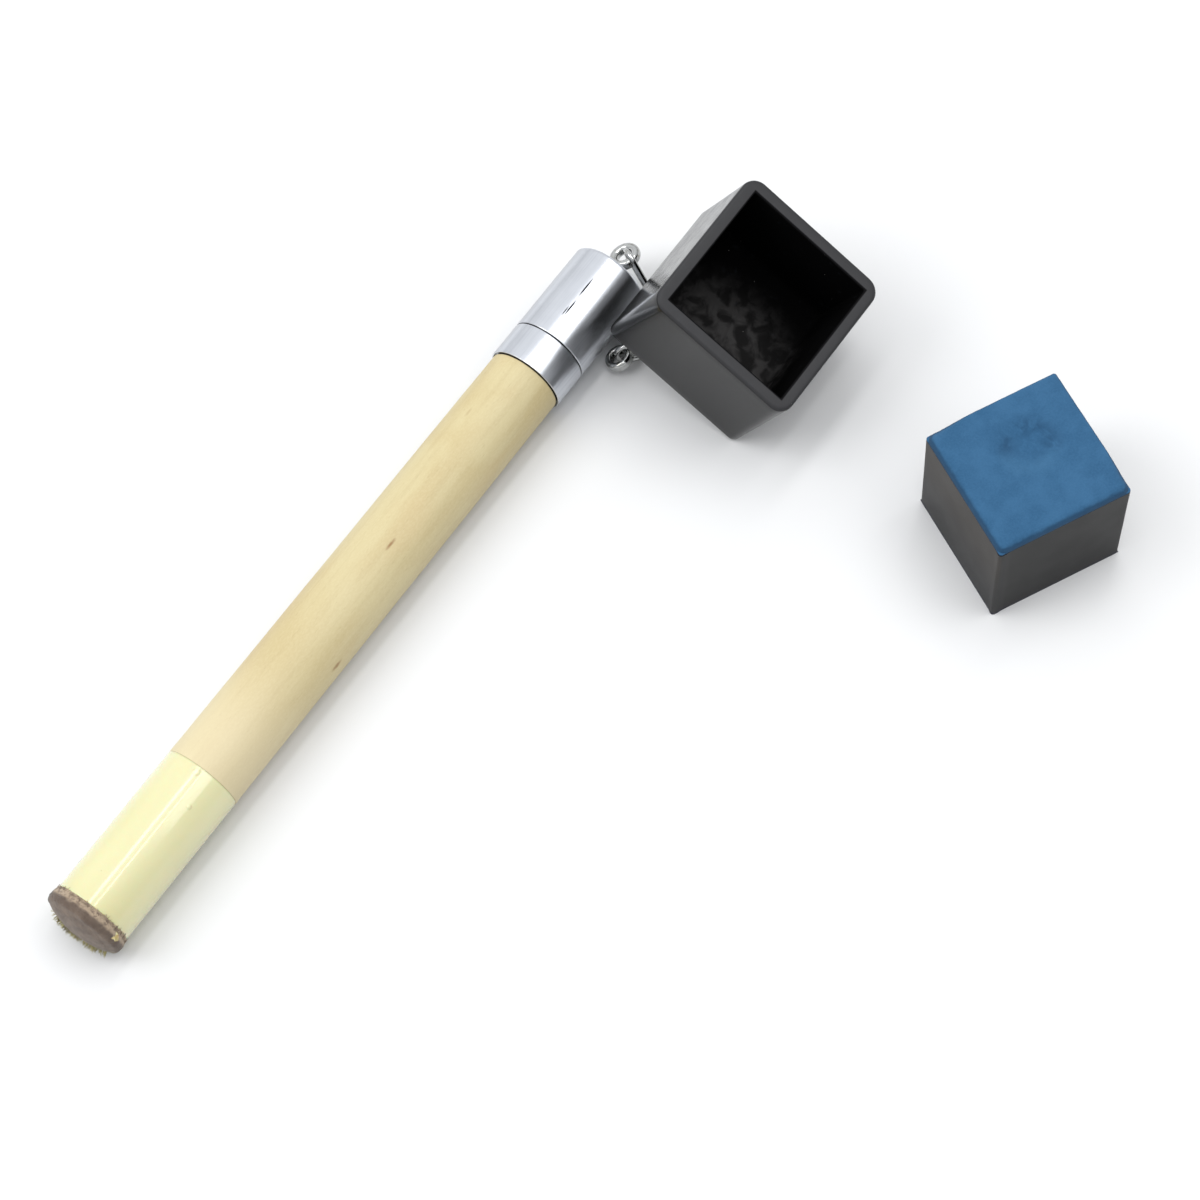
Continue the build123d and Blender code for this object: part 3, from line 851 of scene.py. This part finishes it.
def build_cap():
    """The turned cap, hollow behind its magnet, with a hole for the eye's shank."""
    low, high = box_mm("cap")
    radius = (high.y - low.y) / 2
    magnet_low, magnet_high = box_mm("cap_magnet")
    magnet_radius = (magnet_high.y - magnet_low.y) / 2
    outline = eased([
        (SEAM_X, magnet_radius, 0.1),
        (SEAM_X, radius, SEAM_EASE),
        (high.x, radius, 0.6),
        (high.x, SHANK_HOLE, 0.1),
        (high.x - CAP_END_WALL, SHANK_HOLE, 0.0),
        (high.x - CAP_END_WALL, CAP_HOLLOW, 0.2),
        (magnet_high.x, CAP_HOLLOW, 0.0),
        (magnet_high.x, magnet_radius, 0.0),
    ], closed=True)
    cap = turned("turned_cap", outline, True, "cap", ["cap"])
    cap.data.materials.append(aluminium)


def tip_outline():
    """(x, radius) of the mushroomed leather, from its seat round to the crown."""
    low, high = box_mm("leather_tip")
    radius = (high.y - low.y) / 2
    outline = [Vector((high.x, r)) for r in (1.0, 3.0, 5.0)]
    band_length = high.x - TIP_RIDGE_X
    steps = 26
    for step in range(steps + 1):
        t = step / steps
        swell = (radius - FERRULE_RADIUS) * math.sin(math.pi / 2 * min(1.0, 1.15 * t)) ** 0.8
        outline.append(Vector((high.x - band_length * t, FERRULE_RADIUS + swell)))
    shoulder = radius - TIP_SHOULDER_DROP
    crown_start = TIP_RIDGE_X - TIP_NOSE
    recess = 0.5
    for step in range(1, 9):
        turn = math.pi / 2 * step / 9
        x = TIP_RIDGE_X - TIP_NOSE * math.sin(turn)
        outline.append(Vector((x, radius - TIP_SHOULDER_DROP * (1 - math.cos(turn)))))
    crown = crown_start - low.x - recess
    ball = (shoulder**2 + crown**2) / (2 * crown)
    rows = 34
    for row in range(1, rows + 1):
        r = shoulder * (1 - row / (rows + 1))
        outline.append(Vector((low.x + recess + ball - math.sqrt(ball**2 - r**2), r)))
    return outline


def build_tip():
    """The leather tip, lumpy and frayed where it shows, resting flat on the table."""
    high = box_mm("leather_tip")[1]
    loops = []
    for x, radius in tip_outline():
        loop = ring_points(x, radius, 200)
        for point in loop:
            out = Vector((0, point.y - AXIS.y, point.z - AXIS.z)).normalized()
            exposed = smooth_step(high.x - point.x, 0.0, 0.5)
            ragged = smooth_step(radius, 4.5, 6.2)
            lumps = 0.14 * (1 + grain(point, 0.35, 12)) + 0.1 * (1 + grain(point, 1.4, 15))
            fuzz = 0.05 * (1 + grain(Vector((point.x * 2.5, point.y, point.z)), 3.0, 18))
            point -= out * exposed * (ragged * lumps + fuzz)
            point.x += exposed * (0.08 * (1 + grain(point, 0.5, 22)) + fuzz * 0.7)
            point.z = max(TABLE_GAP, point.z)
        loops.append(loop)
    tip = add_piece("mushroomed_tip", *loft(loops), "handle", ["leather_tip"], sharp=70)
    tip.data.materials.append(leather_finish())


def strand(root, heading, curl, thick, low_x):
    """One tapering fibre, as a thin closed tube kept inside the tip's space."""
    sides, rows = 5, 5
    across = heading.cross(Vector((0.1, 0.3, 1))).normalized()
    other = heading.cross(across).normalized()
    loops = []
    for row in range(rows):
        t = row / (rows - 1)
        middle = root + heading * (t - 0.25) + curl * t * t
        loop = []
        for side in range(sides):
            angle = math.tau * side / sides
            offset = (across * math.cos(angle) + other * math.sin(angle)) * thick * (1 - 0.75 * t)
            p = middle + offset
            loop.append(Vector((max(low_x, p.x), p.y, max(TABLE_GAP, p.z))))
        loops.append(loop)
    return loft(loops)


def build_fray():
    """Loose leather fibres: along the worn face's lower edge and round the seat."""
    low, high = box_mm("leather_tip")
    draw = random.Random(11)
    points, faces = [], []

    def add_strand(root, heading, spread, thick):
        curl = Vector((0, draw.uniform(-spread, spread), draw.uniform(-spread, spread)))
        strand_points, strand_faces = strand(root, heading, curl, thick, low.x + 0.01)
        start = len(points)
        points.extend(strand_points)
        faces.extend(tuple(start + corner for corner in face) for face in strand_faces)

    for _ in range(FACE_FIBRES):
        turn = draw.uniform(225, 345)
        radius = draw.uniform(3.2, 6.0)
        root = on_handle(TIP_RIDGE_X - TIP_NOSE - 1.4 * (1 - (radius / 6.3) ** 2), radius, turn)
        out = on_handle(0, 1, turn) - on_handle(0, 0, turn)
        heading = Vector((-1, 0, 0)) + out * draw.uniform(0.1, 1.1)
        heading += Vector((0, draw.uniform(-0.5, 0.5), draw.uniform(-0.5, 0.3)))
        fibre = heading.normalized() * draw.uniform(0.5, 1.25)
        add_strand(root, fibre, 0.2, draw.uniform(0.05, 0.13))
    for _ in range(SEAT_FIBRES):
        turn = draw.uniform(0, 360)
        root = on_handle(high.x - draw.uniform(0.1, 0.5), FERRULE_RADIUS + 0.1, turn)
        around = on_handle(0, 1, turn + 90) - on_handle(0, 0, turn)
        heading = Vector((draw.uniform(0.1, 1), 0, 0)) + around * draw.uniform(-1, 1)
        fibre = heading.normalized() * draw.uniform(0.4, 0.9)
        add_strand(root, fibre, 0.08, draw.uniform(0.04, 0.09))
    fray = add_piece("tip_fray", points, faces, "handle", [])
    fray.data.materials.append(fibre_finish())


def build_glue():
    """A hardened lump of glue squeezed out beside the ferrule."""
    centre = on_handle(TIP_RIDGE_X + 0.4, 5.95, 160)
    out = (centre - on_handle(centre.x, 0, 0)).normalized()
    around = out.cross(Vector((1, 0, 0)))
    rows, columns = 18, 28
    loops = []
    for row in range(1, rows):
        lean = math.pi * row / rows
        loop = []
        for column in range(columns):
            turn = math.tau * column / columns
            along = math.sin(lean) * math.cos(turn)
            side = math.cos(lean)
            lift = math.sin(lean) * math.sin(turn)
            point = centre + Vector((0.95, 0, 0)) * along + around * 1.5 * side + out * 0.72 * lift
            swell = 1 + 0.18 * grain(point, 1.1, 4) - 0.18
            loop.append(centre + (point - centre) * swell)
        loops.append(loop)
    glue = add_piece("glue_bead", *loft(loops), "handle", [])
    glue.data.materials.append(glue_finish())


# ---- finishes on the CAD nodes that stay ----------------------------------------------

def finish_nodes():
    """Gives the metal CAD nodes that no piece replaces their plating and steel."""
    chrome = plated_finish("chain_chrome", paint(186, 187, 186), 3)
    nickel = plated_finish("magnet_nickel", paint(204, 198, 186), 5)
    steel = steel_finish()
    wanted = {
        chrome: ("cap_eye", "link_1", "link_2", "link_3", "swivel_eye_a", "swivel_eye_b",
                 "swivel_barrel", "cup_eye"),
        nickel: ("cap_magnet",),
        steel: ("keeper_disc", "keeper_screw", "eye_washer", "cup_anchor"),
    }
    for material, names in wanted.items():
        for name in names:
            NODES[name].data.materials.clear()
            NODES[name].data.materials.append(material)


# ---- studio ---------------------------------------------------------------------------

def add_floor():
    """A wide pale sheet under everything, as stage rather than object."""
    reach = 3.0
    mesh = bpy.data.meshes.new("floor")
    corners = [(-reach, -reach, 0), (reach, -reach, 0), (reach, reach, 0), (-reach, reach, 0)]
    mesh.from_pydata(corners, [], [(0, 1, 2, 3)])
    floor = bpy.data.objects.new("floor", mesh)
    bpy.context.scene.collection.objects.link(floor)
    f = Finish("pale_sheet")
    patches = f.ramp(f.noise(0.02, 3), 0.3, 0.7)
    tint = f.mix(patches, (0.725, 0.729, 0.737, 1), (0.74, 0.742, 0.745, 1))
    floor.data.materials.append(f.set(Base_Color=tint, Roughness=0.7, Specular_IOR_Level=0.2))


def add_softbox(name, toward, distance, length, width, radiance):
    """A soft panel, long side along +X, that faces the object from a direction."""
    back = Vector(toward).normalized()
    along = (Vector((1, 0, 0)) - back * back.x).normalized()
    data = bpy.data.lights.new(name, "AREA")
    data.shape = "RECTANGLE"
    data.size = length
    data.size_y = width
    data.energy = radiance * math.pi * length * width
    lamp = bpy.data.objects.new(name, data)
    lamp.location = (cad_low + cad_high) / 2 + back * distance
    lamp.rotation_mode = "QUATERNION"
    lamp.rotation_quaternion = Matrix((along, back.cross(along), back)).transposed().to_quaternion()
    bpy.context.scene.collection.objects.link(lamp)


def add_light():
    """A sky that glows softly over the handle's far side, with four soft panels."""
    world = bpy.data.worlds.new("studio")
    world.use_nodes = True
    nodes, links = world.node_tree.nodes, world.node_tree.links
    background = nodes["Background"]
    background.inputs["Color"].default_value = (0.97, 0.985, 1.0, 1)
    toward = nodes.new("ShaderNodeVectorMath")
    toward.operation = "DOT_PRODUCT"
    links.new(nodes.new("ShaderNodeTexCoord").outputs["Generated"], toward.inputs[0])
    toward.inputs[1].default_value = Vector((0.1, 0.5, 0.86)).normalized()
    glow = nodes.new("ShaderNodeMapRange")
    glow.interpolation_type = "SMOOTHSTEP"
    for socket, value in zip(glow.inputs[1:], (0.1, 0.97, 0.58, 1.1)):
        socket.default_value = value
    links.new(toward.outputs["Value"], glow.inputs[0])
    links.new(glow.outputs[0], background.inputs["Strength"])
    bpy.context.scene.world = world
    add_softbox("key", (-0.4, 0.5, 0.78), 0.8, 0.45, 0.45, 3.2)
    add_softbox("fill", (0.35, -0.45, 0.85), 0.75, 0.36, 0.36, 2.6)
    add_softbox("strip_left", (0.2, 0.11, 0.97), 0.8, 0.7, 0.1, 5.6)
    add_softbox("strip_right", (0.2, -0.17, 0.96), 0.8, 0.7, 0.05, 6.5)


def add_camera():
    """The camera's turn round the table, its height and its slight roll."""
    look_at = Vector((-46.11, 45.6, 0)) * MM
    azimuth, elevation, roll = map(math.radians, (-136.26, 65.42, -8.61))
    distance = 455.2 * MM
    level = math.cos(elevation)
    back = Vector((math.cos(azimuth) * level, math.sin(azimuth) * level, math.sin(elevation)))
    data = bpy.data.cameras.new("camera")
    data.sensor_width = 36
    data.lens = 89.687
    camera = bpy.data.objects.new("camera", data)
    camera.location = look_at + back * distance
    camera.rotation_mode = "QUATERNION"
    camera.rotation_quaternion = Quaternion(back, roll) @ (-back).to_track_quat("-Z", "Y")
    bpy.context.scene.collection.objects.link(camera)
    bpy.context.scene.camera = camera


aluminium = turned_aluminium_finish()
build_chalk()
build_label()
build_cup()
build_ferrule()
build_shaft()
build_collar()
build_cap()
build_tip()
build_fray()
build_glue()
finish_nodes()
add_floor()
add_light()
add_camera()
bpy.context.scene.view_settings.view_transform = "Standard"
